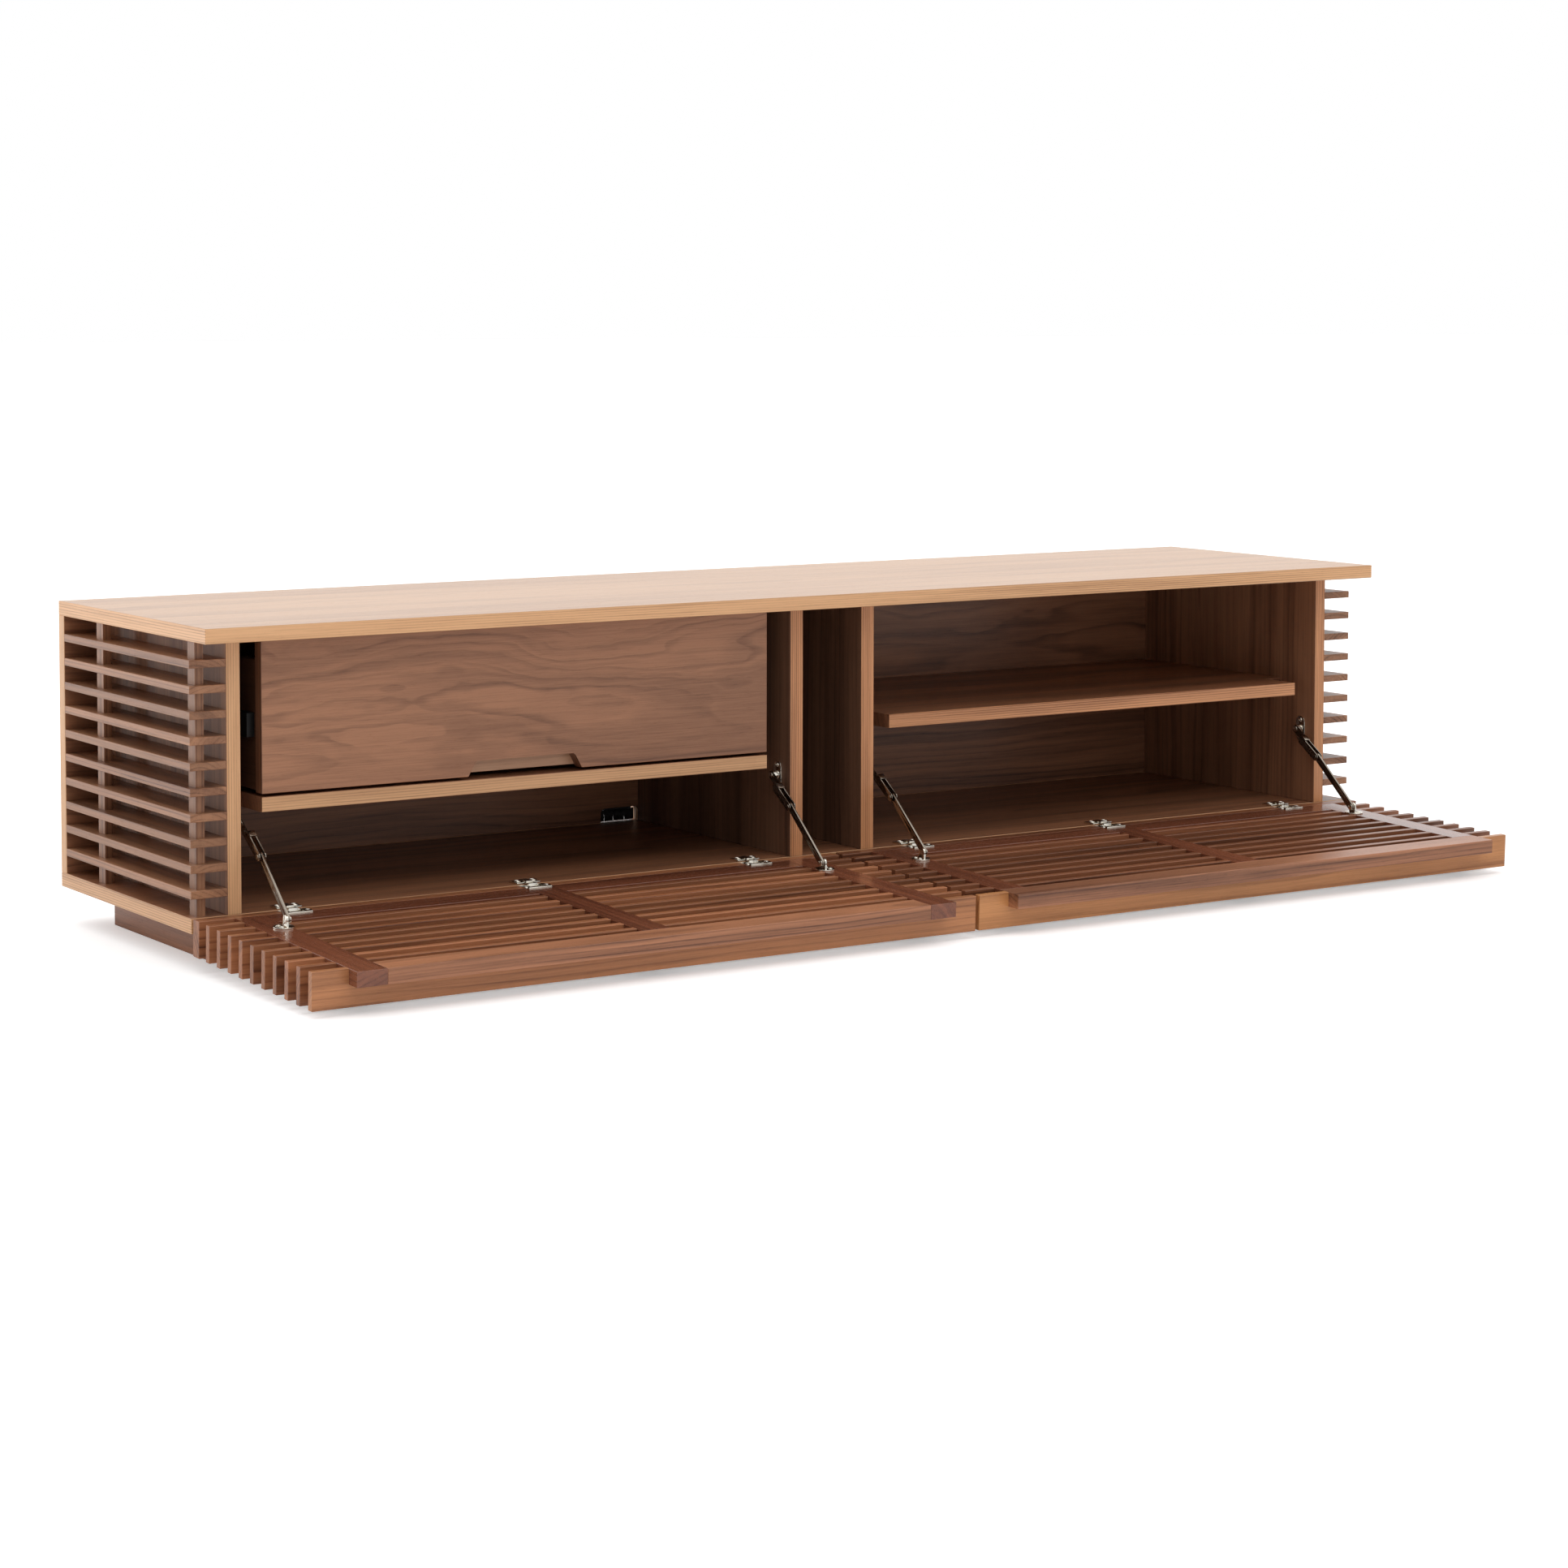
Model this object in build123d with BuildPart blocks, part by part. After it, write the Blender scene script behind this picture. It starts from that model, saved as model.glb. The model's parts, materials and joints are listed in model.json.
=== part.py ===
from build123d import *
import os
from math import acos, atan2, cos, degrees, hypot, radians, sin

# Low media cabinet with slatted drop-down doors, millimetres.
# X runs along the width, the front faces -Y, +Z is up and the floor is Z = 0.
# The doors are modelled open, hanging on their stays.

# ---- Driving dimensions ------------------------------------------------------------------------

cabinet_width = 2000
cabinet_depth = 495
cabinet_height = 450
panel_thickness = 20
back_thickness = 19
edge_ease = 0.6

# carcass
front_overhang = 52
side_setback = 51
side_thickness = 20
divider_thickness = 22
centre_bay_width = 102

# plinth
plinth_height = 50
plinth_thickness = 18
plinth_front_setback = 60
plinth_back_setback = 65

# levelling feet
leveller_pad_radius = 16
leveller_pad_height = 6
leveller_stem_radius = 4
leveller_bore_clearance = 0.3
leveller_bore_depth = 14
leveller_stem_engagement = 12
leveller_floor_gap = 1
leveller_inset = 26
leveller_pad_ease = 1.5

# horizontal slats on the ends and the doors
slat_count = 10
slat_thickness = 10.4
slat_margin = 24.95
slat_ease = 0.5

# upright posts that carry the end slats
post_width = 12
post_depth = 22
post_inset = 12
front_post_setbacks = {"left": 10, "right": 66}
rear_post_setback = 88

# shelves
shelf_thickness = 20
shelf_setback = 9
shelf_side_gap = 0.5
shelf_notch_width = 34
shelf_notch_depth = 72
drawer_shelf_height = 149
media_shelf_height = 193
pin_radius = 3
pin_length = 9
pin_socket_depth = 8
pin_front_offset = 105
pin_back_offset = 60

# cable outlet in the back panel
cable_outlet_width = 66
cable_outlet_height = 22
cable_outlet_radius = 8

# drawer
drawer_front_thickness = 19
drawer_front_gap = 4
drawer_side_thickness = 12
drawer_side_inset = 0.5
drawer_side_drop = 28
drawer_side_lift = 3
drawer_back_gap = 24
drawer_bottom_thickness = 8
drawer_bottom_lift = 26
drawer_groove_depth = 6
drawer_back_inset = 14
pull_bottom_width = 178
pull_top_width = 154
pull_height = 21
pull_corner_radius = 6

# drawer runners
runner_block_width = 21
runner_block_height = 70
runner_channel_height = 45
runner_channel_depth = 11.5
runner_wall = 1.5
runner_bar_height = 32
runner_bar_gap = 1
runner_front_gap = 4
runner_back_gap = 30

# doors
door_end_gap = 0.5
door_centre_gap = 6
door_depth = 48.5
door_closed_gap = 3.5
door_hinge_gap = 4.5
door_bottom_raise = 5
door_top_gap = 3
door_droop = 2
hinge_board_thickness = 18.4
frame_thickness = 20
stile_width = 42
frame_end_inset = 49.5
hinge_rail_width = 44
front_rail_width = 42

# hinges
hinge_end_inset = 139.25
hinge_plate_width = 36
hinge_plate_depth = 22
hinge_plate_thickness = 2.5
hinge_plate_setback = 2
hinge_arm_width = 14
hinge_arm_thickness = 1.5
hinge_arm_lift = 1
hinge_leg_near = 1
hinge_leg_far = 4.5
hinge_eye_radius = 3.5
hinge_pin_radius = 2
hinge_pin_clearance = 0.05
cup_width = 24
cup_wall = 1
cup_reach = 13.5
cup_floor_depth = 6.5
flange_width = 40
flange_reach = 21
flange_thickness = 1

# folding stays
stay_bracket_setback = 31
stay_bracket_height = 116
stay_foot_distance = 100
stay_foot_height = 10
stay_slack = 0.3
upper_share = 0.39
stay_plate_width = 20
stay_plate_length = 40
stay_plate_thickness = 2
stay_boss_radius = 6
stay_boss_end = 10.8
upper_link_near = 11
upper_link_wall = 1.5
upper_link_width = 12
upper_link_far = 19.5
upper_fork_length = 40
upper_web_start = 42
upper_web_end = 32
upper_web_thickness = 1.5
upper_web_lap = 1
lower_arm_near = 14.5
lower_arm_thickness = 3
lower_arm_width = 11
stay_pin_radius = 2.5
stay_pin_clearance = 0.05
stay_head_radius = 4.5
stay_head_gap = 0.2
stay_head_height = 1.1
knuckle_rivet_radius = 3.5
knuckle_rivet_height = 1.2
knuckle_hole_radius = 2
foot_plate_radius = 14
foot_plate_thickness = 2
foot_plate_centre = 10
foot_lug_near = 11.2
foot_lug_thickness = 2.8
foot_lug_radius = 6.5

# screws
screw_head_radius = 3.4
screw_head_height = 1.2
screw_shank_radius = 1.5
screw_length = 11
hinge_screw_spacing = 24
cup_screw_spacing = 32
cup_screw_reach = 9
bracket_screw_spacing = 28
foot_screw_spacing = 11
foot_screw_distance = 5

# ---- Levels and lines worked out from them -----------------------------------------------------

half_width = cabinet_width / 2
floor_top = plinth_height + panel_thickness
roof = cabinet_height - panel_thickness
inner_height = roof - floor_top
side_outer = half_width - side_setback
side_inner = side_outer - side_thickness
divider_inner = centre_bay_width / 2
divider_outer = divider_inner + divider_thickness

# hinge axis: the door's edge lines up with the bottom panel whether it is shut or open
hinge_pin_depth = (panel_thickness - door_bottom_raise + door_hinge_gap - door_closed_gap) / 2
hinge_pin_inset = hinge_pin_depth + door_closed_gap - door_hinge_gap
door_length = roof - door_top_gap - plinth_height - door_bottom_raise
door_face = hinge_pin_depth
door_reach = (door_length - hinge_pin_inset) * cos(radians(door_droop))
door_reach += door_face * sin(radians(door_droop))
hinge_offset = front_overhang - door_closed_gap - hinge_pin_depth

# the origin is under the middle of the whole footprint, open doors included
front = (door_reach - hinge_offset - cabinet_depth) / 2
back = front + cabinet_depth
back_face = back - back_thickness
carcass_front = front + front_overhang
hinge_y = front + hinge_offset
hinge_z = floor_top - hinge_pin_depth
shelf_front = carcass_front + shelf_setback
shelf_notch_back = shelf_front + shelf_notch_depth
drawer_shelf_top = floor_top + drawer_shelf_height
media_shelf_top = floor_top + media_shelf_height

first_slat = floor_top + slat_margin
slat_pitch = (inner_height - 2 * slat_margin - slat_thickness) / (slat_count - 1)

door_plane = Plane(
    origin=(0, hinge_y, hinge_z),
    x_dir=(1, 0, 0),
    z_dir=(0, -sin(radians(door_droop)), cos(radians(door_droop))),
)
sides = {"left": -1, "right": 1}
standing = (Align.CENTER, Align.CENTER, Align.MIN)
hanging = (Align.CENTER, Align.CENTER, Align.MAX)
os.makedirs("parts", exist_ok=True)


# ---- Helpers -----------------------------------------------------------------------------------

def block(x, y, z, mode=Mode.ADD):
    """A box between two limits on each axis."""
    with Locations((sum(x) / 2, sum(y) / 2, sum(z) / 2)):
        Box(abs(x[1] - x[0]), abs(y[1] - y[0]), abs(z[1] - z[0]), mode=mode)


def write(piece, name):
    """Label a finished sub-part and write its STEP file."""
    piece.part.label = name
    export_step(piece.part, f"parts/{name}.step")


def screws(planes):
    """Pan-head screws whose heads sit on the given planes."""
    with Locations(*planes):
        Cylinder(screw_head_radius, screw_head_height, align=standing)
        Cylinder(screw_shank_radius, screw_length, align=hanging)


def screw_holes(planes):
    """The holes those screws need in whatever is being built."""
    with Locations(*planes):
        Cylinder(screw_shank_radius, screw_length, align=hanging, mode=Mode.SUBTRACT)


def span_of(side, low, high):
    """The X limits of something between two distances from the middle, on one side."""
    return tuple(sorted((sides[side] * low, sides[side] * high)))


def along_door(near, far):
    """Door-plane Y limits of something between two distances from the hinge edge."""
    return (hinge_pin_inset - far, hinge_pin_inset - near)


def door_point(distance, height):
    """(Y, Z) of a point on the open door, by distance from its hinge edge and height over the pin."""
    out = distance - hinge_pin_inset
    droop = radians(door_droop)
    return (
        hinge_y - out * cos(droop) - height * sin(droop),
        hinge_z - out * sin(droop) + height * cos(droop),
    )


# ---- Where the hinges, stays and screws go -----------------------------------------------------

door_span = {side: span_of(side, door_centre_gap / 2, half_width - door_end_gap) for side in sides}
door_middle = {side: sum(door_span[side]) / 2 for side in sides}
hinge_places = {
    side: [door_span[side][0] + hinge_end_inset, door_middle[side], door_span[side][1] - hinge_end_inset]
    for side in sides
}
all_hinges = hinge_places["left"] + hinge_places["right"]

# each stay: the face that carries it, and which way the opening lies from that face
stays = {
    "left_outer": (-side_inner, 1, "left"),
    "left_inner": (-divider_outer, -1, "left"),
    "right_inner": (divider_outer, 1, "right"),
    "right_outer": (side_inner, -1, "right"),
}

bracket_y = carcass_front + stay_bracket_setback
bracket_z = floor_top + stay_bracket_height
foot_y, foot_z = door_point(stay_foot_distance, door_face + stay_foot_height)
stay_span = hypot(foot_y - bracket_y, foot_z - bracket_z)
upper_length = upper_share * (stay_span + stay_slack)
lower_length = (1 - upper_share) * (stay_span + stay_slack)
bracket_corner = acos(
    (upper_length**2 + stay_span**2 - lower_length**2) / (2 * upper_length * stay_span)
)
upper_angle = atan2(foot_z - bracket_z, foot_y - bracket_y) - bracket_corner
knuckle_y = bracket_y + upper_length * cos(upper_angle)
knuckle_z = bracket_z + upper_length * sin(upper_angle)
lower_angle = atan2(knuckle_z - foot_z, knuckle_y - foot_y)


def stay_plane(face, way, distance, y, z, angle=0):
    """A plane across the stay, at a distance from the face that carries it."""
    return Plane(
        origin=(face + way * distance, y, z),
        x_dir=(0, cos(angle), sin(angle)),
        z_dir=(1, 0, 0),
    )


hinge_plate_front = carcass_front + hinge_plate_setback
hinge_plate_middle = hinge_plate_front + hinge_plate_depth / 2
hinge_screws = [
    Location((x + step * hinge_screw_spacing / 2, hinge_plate_middle, floor_top + hinge_plate_thickness))
    for x in all_hinges
    for step in (-1, 1)
]
bracket_screws = [
    (
        face,
        Plane(
            origin=(
                face + way * stay_plate_thickness,
                bracket_y,
                bracket_z + step * bracket_screw_spacing / 2,
            ),
            x_dir=(0, 1, 0),
            z_dir=(way, 0, 0),
        ),
    )
    for face, way, side in stays.values()
    for step in (-1, 1)
]
cup_screws = {
    side: [
        (x + step * cup_screw_spacing / 2, -cup_screw_reach, door_face)
        for x in hinge_places[side]
        for step in (-1, 1)
    ]
    for side in sides
}
foot_screws = {
    side: [
        (
            face + way * foot_screw_distance,
            hinge_pin_inset - stay_foot_distance + step * foot_screw_spacing / 2,
            door_face + foot_plate_thickness,
        )
        for face, way, owner in stays.values()
        if owner == side
        for step in (-1, 1)
    ]
    for side in sides
}
shelf_levels = {"left": drawer_shelf_top, "right": media_shelf_top}
pin_places = {
    side: [
        (y, shelf_levels[side] - shelf_thickness - pin_radius)
        for y in (shelf_front + pin_front_offset, back_face - pin_back_offset)
    ]
    for side in sides
}
leveller_places = [
    (x * (side_outer - plinth_thickness - leveller_inset), y)
    for x in (-1, 1)
    for y in (
        carcass_front + plinth_front_setback + plinth_thickness + leveller_inset,
        back - plinth_back_setback - plinth_thickness - leveller_inset,
    )
]

# ---- Carcass -----------------------------------------------------------------------------------

with BuildPart() as top_panel:
    block((-half_width, half_width), (front, back), (roof, cabinet_height))
    chamfer(top_panel.edges(), edge_ease)
write(top_panel, "top_panel")

with BuildPart() as bottom_panel:
    block((-half_width, half_width), (carcass_front, back), (plinth_height, floor_top))
    chamfer(bottom_panel.edges(), edge_ease)
    screw_holes(hinge_screws)
    with Locations(*[(x, y, plinth_height) for x, y in leveller_places]):
        Cylinder(
            leveller_stem_radius + leveller_bore_clearance,
            leveller_bore_depth,
            align=standing,
            mode=Mode.SUBTRACT,
        )
write(bottom_panel, "bottom_panel")

with BuildPart() as back_panel:
    block((-half_width, half_width), (back_face, back), (floor_top, roof))
    chamfer(back_panel.edges(), edge_ease)
    with BuildSketch(Plane.XZ.offset(-back)):
        with Locations((-divider_outer - cable_outlet_width / 2, floor_top)):
            outlet = Rectangle(cable_outlet_width, 2 * cable_outlet_height)
        fillet(outlet.vertices(), cable_outlet_radius)
    extrude(amount=back_thickness, mode=Mode.SUBTRACT)
write(back_panel, "back_panel")

for side in sides:
    uprights = {
        f"side_panel_{side}": span_of(side, side_inner, side_outer),
        f"divider_{side}": span_of(side, divider_inner, divider_outer),
    }
    for name, span in uprights.items():
        with BuildPart() as upright:
            block(span, (carcass_front, back_face), (floor_top, roof))
            chamfer(upright.edges(), edge_ease)
            bay_face = sides[side] * (side_inner if name.startswith("side") else divider_outer)
            screw_holes([screw for face, screw in bracket_screws if face == bay_face])
            toward_bay = -sides[side] if name.startswith("side") else sides[side]
            for y, z in pin_places[side]:
                with Locations(Location((bay_face - toward_bay * pin_socket_depth / 2, y, z), (0, 90, 0))):
                    Cylinder(pin_radius, pin_socket_depth, mode=Mode.SUBTRACT)
        write(upright, name)

# ---- Plinth and levelling feet -----------------------------------------------------------------

plinth_front = carcass_front + plinth_front_setback
plinth_back = back - plinth_back_setback
plinth_boards = {
    "plinth_left": ((-side_outer, plinth_thickness - side_outer), (plinth_front, plinth_back)),
    "plinth_right": ((side_outer - plinth_thickness, side_outer), (plinth_front, plinth_back)),
    "plinth_front": (
        (plinth_thickness - side_outer, side_outer - plinth_thickness),
        (plinth_front, plinth_front + plinth_thickness),
    ),
    "plinth_back": (
        (plinth_thickness - side_outer, side_outer - plinth_thickness),
        (plinth_back - plinth_thickness, plinth_back),
    ),
}
for name, (x, y) in plinth_boards.items():
    with BuildPart() as plinth_board:
        block(x, y, (0, plinth_height))
        chamfer(plinth_board.edges(), edge_ease)
    write(plinth_board, name)

for number, (x, y) in enumerate(leveller_places, 1):
    with BuildPart() as leveller:
        with Locations((x, y, leveller_floor_gap)):
            Cylinder(leveller_pad_radius, leveller_pad_height, align=standing)
            fillet(leveller.edges().filter_by(GeomType.CIRCLE), leveller_pad_ease)
        with Locations((x, y, leveller_floor_gap + leveller_pad_height)):
            Cylinder(
                leveller_stem_radius,
                plinth_height + leveller_stem_engagement - leveller_floor_gap - leveller_pad_height,
                align=standing,
            )
    write(leveller, f"leveller_{number}")

# ---- Slatted ends ------------------------------------------------------------------------------

post_spans = {
    side: span_of(side, half_width - post_inset - post_width, half_width - post_inset) for side in sides
}
post_depths = {
    side: [
        (carcass_front + setback, carcass_front + setback + post_depth),
        (back_face - rear_post_setback - post_depth, back_face - rear_post_setback),
    ]
    for side, setback in front_post_setbacks.items()
}

for side in sides:
    slat_x = span_of(side, side_outer, half_width)
    with BuildPart() as end_slats:
        for step in range(slat_count):
            low = first_slat + step * slat_pitch
            block(slat_x, (carcass_front, back_face), (low, low + slat_thickness))
        chamfer(end_slats.edges(), slat_ease)
        for post_y in post_depths[side]:
            block(post_spans[side], post_y, (floor_top, roof), mode=Mode.SUBTRACT)
    write(end_slats, f"end_slats_{side}")

with BuildPart() as end_posts:
    for side in sides:
        for post_y in post_depths[side]:
            block(post_spans[side], post_y, (floor_top, roof))
write(end_posts, "end_posts")

# ---- Shelves and the pins that carry them ------------------------------------------------------

shelves = {"drawer_shelf": "left", "media_shelf": "right"}
for name, side in shelves.items():
    span = span_of(side, divider_outer + shelf_side_gap, side_inner - shelf_side_gap)
    top = shelf_levels[side]
    with BuildPart() as shelf:
        block(span, (shelf_front, back_face), (top - shelf_thickness, top))
        chamfer(shelf.edges(), edge_ease)
        notch = shelf_notch_width - shelf_side_gap
        for x in ((span[0], span[0] + notch), (span[1] - notch, span[1])):
            block(x, (shelf_front, shelf_notch_back), (top - shelf_thickness, top), mode=Mode.SUBTRACT)
    write(shelf, name)

with BuildPart() as shelf_pins:
    for side in sides:
        walls = [(divider_outer, sides[side]), (side_inner, -sides[side])]
        for wall, way in walls:
            for y, z in pin_places[side]:
                pin_middle = sides[side] * wall + way * (pin_length - pin_socket_depth) / 2
                with Locations(Location((pin_middle, y, z), (0, 90, 0))):
                    Cylinder(pin_radius, pin_length + pin_socket_depth)
write(shelf_pins, "shelf_pins")

# ---- Drawer and its runners --------------------------------------------------------------------

bay = (-side_inner, -divider_outer)
drawer_span = (bay[0] + shelf_notch_width, bay[1] - shelf_notch_width)
drawer_low = drawer_shelf_top + drawer_front_gap
drawer_high = roof - drawer_front_gap
drawer_y = shelf_front + drawer_front_thickness
drawer_end = back_face - drawer_back_gap
box_span = (drawer_span[0] + drawer_side_inset, drawer_span[1] - drawer_side_inset)
box_low = drawer_low + drawer_side_lift
box_high = drawer_high - drawer_side_drop
drawer_floor = (drawer_low + drawer_bottom_lift, drawer_low + drawer_bottom_lift + drawer_bottom_thickness)
runner_z = (box_low + box_high) / 2
drawer_back_y = drawer_end - drawer_back_inset
drawer_floor_x = (
    box_span[0] + drawer_side_thickness - drawer_groove_depth,
    box_span[1] - drawer_side_thickness + drawer_groove_depth,
)
drawer_floor_y = (
    drawer_y + drawer_side_thickness - drawer_groove_depth,
    drawer_back_y - drawer_side_thickness + drawer_groove_depth,
)

with BuildPart() as drawer_front:
    block(drawer_span, (shelf_front, drawer_y), (drawer_low, drawer_high))
    chamfer(drawer_front.edges(), edge_ease)
    with BuildSketch(Plane.XZ.offset(-drawer_y)):
        middle = sum(drawer_span) / 2
        with BuildLine():
            Polyline(
                (middle - pull_bottom_width / 2, drawer_low - pull_corner_radius),
                (middle - pull_bottom_width / 2, drawer_low),
                (middle - pull_top_width / 2, drawer_low + pull_height),
                (middle + pull_top_width / 2, drawer_low + pull_height),
                (middle + pull_bottom_width / 2, drawer_low),
                (middle + pull_bottom_width / 2, drawer_low - pull_corner_radius),
                close=True,
            )
        pull = make_face()
        fillet(pull.vertices().group_by(Axis.Y)[-1], pull_corner_radius)
    extrude(amount=drawer_front_thickness, mode=Mode.SUBTRACT)
write(drawer_front, "drawer_front")

side_spans = {
    "left": (box_span[0], box_span[0] + drawer_side_thickness),
    "right": (box_span[1] - drawer_side_thickness, box_span[1]),
}
for side, span in side_spans.items():
    with BuildPart() as drawer_side:
        block(span, (drawer_y, drawer_end), (box_low, box_high))
        chamfer(drawer_side.edges(), edge_ease)
        block(drawer_floor_x, drawer_floor_y, drawer_floor, mode=Mode.SUBTRACT)
    write(drawer_side, f"drawer_side_{side}")

# the inner front closes the finger pull from behind
with BuildPart() as drawer_box_ends:
    for end_y in (drawer_y + drawer_side_thickness, drawer_back_y):
        block(
            (side_spans["left"][1], side_spans["right"][0]),
            (end_y - drawer_side_thickness, end_y),
            (box_low, box_high),
        )
    chamfer(drawer_box_ends.edges(), edge_ease)
    block(drawer_floor_x, drawer_floor_y, drawer_floor, mode=Mode.SUBTRACT)
write(drawer_box_ends, "drawer_box_ends")

with BuildPart() as drawer_bottom:
    block(drawer_floor_x, drawer_floor_y, drawer_floor)
write(drawer_bottom, "drawer_bottom")

block_y = (shelf_notch_back + runner_front_gap, back_face)
channel_y = (block_y[0], drawer_end - runner_front_gap)
bar_y = (drawer_y + runner_front_gap, drawer_end - runner_back_gap)
bar_limits = (runner_wall + runner_bar_gap, shelf_notch_width + drawer_side_inset - runner_block_width)
runner_walls = [(bay[0], 1), (bay[1], -1)]

with BuildPart() as runner_blocks:
    for wall, way in runner_walls:
        half = runner_block_height / 2
        block((wall, wall + way * runner_block_width), block_y, (runner_z - half, runner_z + half))
write(runner_blocks, "runner_blocks")

with BuildPart() as runner_channels:
    for wall, way in runner_walls:
        start = wall + way * runner_block_width
        half = runner_channel_height / 2
        block((start, start + way * runner_channel_depth), channel_y, (runner_z - half, runner_z + half))
        hollow_x = (start + way * runner_wall, start + way * runner_channel_depth)
        hollow_z = (runner_z - half + runner_wall, runner_z + half - runner_wall)
        block(hollow_x, channel_y, hollow_z, mode=Mode.SUBTRACT)
write(runner_channels, "runner_channels")

with BuildPart() as runner_bars:
    for wall, way in runner_walls:
        start = wall + way * runner_block_width
        half = runner_bar_height / 2
        block(
            (start + way * bar_limits[0], start + way * bar_limits[1]),
            bar_y,
            (runner_z - half, runner_z + half),
        )
write(runner_bars, "runner_bars")

# ---- Doors, built on the plane of the open door ------------------------------------------------

# the front rail runs past the outer stiles on the right door, and between them on the left one
frame_heights = (door_face - frame_thickness, door_face)
rail_takes_corners = {"left": False, "right": True}
front_rail_back = door_length - front_rail_width


def hinge_pockets(side):
    """Recesses for the hinge cups and their flanges."""
    for x in hinge_places[side]:
        block(
            (x - cup_width / 2, x + cup_width / 2),
            (-cup_reach, hinge_pin_inset),
            (-cup_floor_depth, door_face),
            mode=Mode.SUBTRACT,
        )
        block(
            (x - flange_width / 2, x + flange_width / 2),
            (-flange_reach, hinge_pin_inset),
            (door_face - flange_thickness, door_face),
            mode=Mode.SUBTRACT,
        )
    screw_holes([Location(place) for place in cup_screws[side]])


for side in sides:
    ends = door_span[side]
    frame_ends = (ends[0] + frame_end_inset, ends[1] - frame_end_inset)
    stile_x = {
        "left": (frame_ends[0], frame_ends[0] + stile_width),
        "middle": (door_middle[side] - stile_width / 2, door_middle[side] + stile_width / 2),
        "right": (frame_ends[1] - stile_width, frame_ends[1]),
    }
    panes = [
        (stile_x["left"][1], stile_x["middle"][0]),
        (stile_x["middle"][1], stile_x["right"][0]),
    ]
    outer_stile_far = door_length
    front_rail_x = (stile_x["left"][1], stile_x["right"][0])
    if rail_takes_corners[side]:
        outer_stile_far = front_rail_back
        front_rail_x = frame_ends
    stile_y = {
        place: along_door(hinge_board_thickness, front_rail_back if place == "middle" else outer_stile_far)
        for place in stile_x
    }
    hinge_rail_y = along_door(hinge_board_thickness, hinge_board_thickness + hinge_rail_width)
    front_rail_y = along_door(front_rail_back, door_length)

    with BuildPart(door_plane) as door_board:
        block(ends, along_door(0, hinge_board_thickness), (door_face - door_depth, door_face))
        chamfer(door_board.edges(), edge_ease)
        hinge_pockets(side)
    write(door_board, f"door_{side}_board")

    with BuildPart(door_plane) as door_slats:
        for step in range(slat_count):
            near = first_slat + step * slat_pitch - plinth_height - door_bottom_raise
            block(ends, along_door(near, near + slat_thickness), (door_face - door_depth, door_face))
        chamfer(door_slats.edges(), slat_ease)
        for place, span in stile_x.items():
            block(span, stile_y[place], frame_heights, mode=Mode.SUBTRACT)
        for span in panes:
            block(span, hinge_rail_y, frame_heights, mode=Mode.SUBTRACT)
        block(front_rail_x, front_rail_y, frame_heights, mode=Mode.SUBTRACT)
    write(door_slats, f"door_{side}_slats")

    for place, span in stile_x.items():
        with BuildPart(door_plane) as stile:
            block(span, stile_y[place], frame_heights)
            chamfer(stile.edges(), slat_ease)
            hinge_pockets(side)
            screw_holes([Location(spot) for spot in foot_screws[side]])
        write(stile, f"door_{side}_stile_{place}")

    with BuildPart(door_plane) as hinge_rail:
        for span in panes:
            block(span, hinge_rail_y, frame_heights)
        chamfer(hinge_rail.edges(), slat_ease)
        hinge_pockets(side)
    write(hinge_rail, f"door_{side}_hinge_rail")

    with BuildPart(door_plane) as front_rail:
        block(front_rail_x, front_rail_y, frame_heights)
        chamfer(front_rail.edges(), slat_ease)
    write(front_rail, f"door_{side}_front_rail")

    with BuildPart(door_plane) as hinge_cups:
        for x in hinge_places[side]:
            block(
                (x - cup_width / 2, x + cup_width / 2),
                (-cup_reach, hinge_pin_inset),
                (-cup_floor_depth, door_face),
            )
            block(
                (x - flange_width / 2, x + flange_width / 2),
                (-flange_reach, hinge_pin_inset),
                (door_face - flange_thickness, door_face),
            )
            block(
                (x - cup_width / 2 + cup_wall, x + cup_width / 2 - cup_wall),
                (cup_wall - cup_reach, hinge_pin_inset - cup_wall),
                (cup_wall - cup_floor_depth, door_face),
                mode=Mode.SUBTRACT,
            )
            with Locations(Location((x, 0, 0), (0, 90, 0))):
                Cylinder(hinge_pin_radius, cup_width - cup_wall)
        screw_holes([Location(place) for place in cup_screws[side]])
    write(hinge_cups, f"door_{side}_hinge_cups")

    lug_drop = stay_foot_height - foot_plate_thickness / 2
    with BuildPart() as stay_feet:
        for face, way, owner in stays.values():
            if owner != side:
                continue
            with BuildSketch(stay_plane(face, way, foot_lug_near, foot_y, foot_z, radians(door_droop))):
                Circle(foot_lug_radius)
                Rectangle(2 * foot_lug_radius, lug_drop, align=(Align.CENTER, Align.MAX))
            extrude(amount=way * foot_lug_thickness)
            with Locations(door_plane):
                with Locations(
                    (
                        face + way * foot_plate_centre,
                        hinge_pin_inset - stay_foot_distance,
                        door_face + foot_plate_thickness / 2,
                    )
                ):
                    Cylinder(foot_plate_radius, foot_plate_thickness)
            pin_start = foot_lug_near + foot_lug_thickness
            pin_end = lower_arm_near + lower_arm_thickness + stay_head_gap
            with BuildSketch(stay_plane(face, way, pin_start, foot_y, foot_z)):
                Circle(stay_pin_radius)
            extrude(amount=way * (pin_end - pin_start))
            with BuildSketch(stay_plane(face, way, pin_end, foot_y, foot_z)):
                Circle(stay_head_radius)
            extrude(amount=way * stay_head_height)
        with Locations(door_plane):
            screw_holes([Location(spot) for spot in foot_screws[side]])
    write(stay_feet, f"door_{side}_stay_feet")

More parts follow.
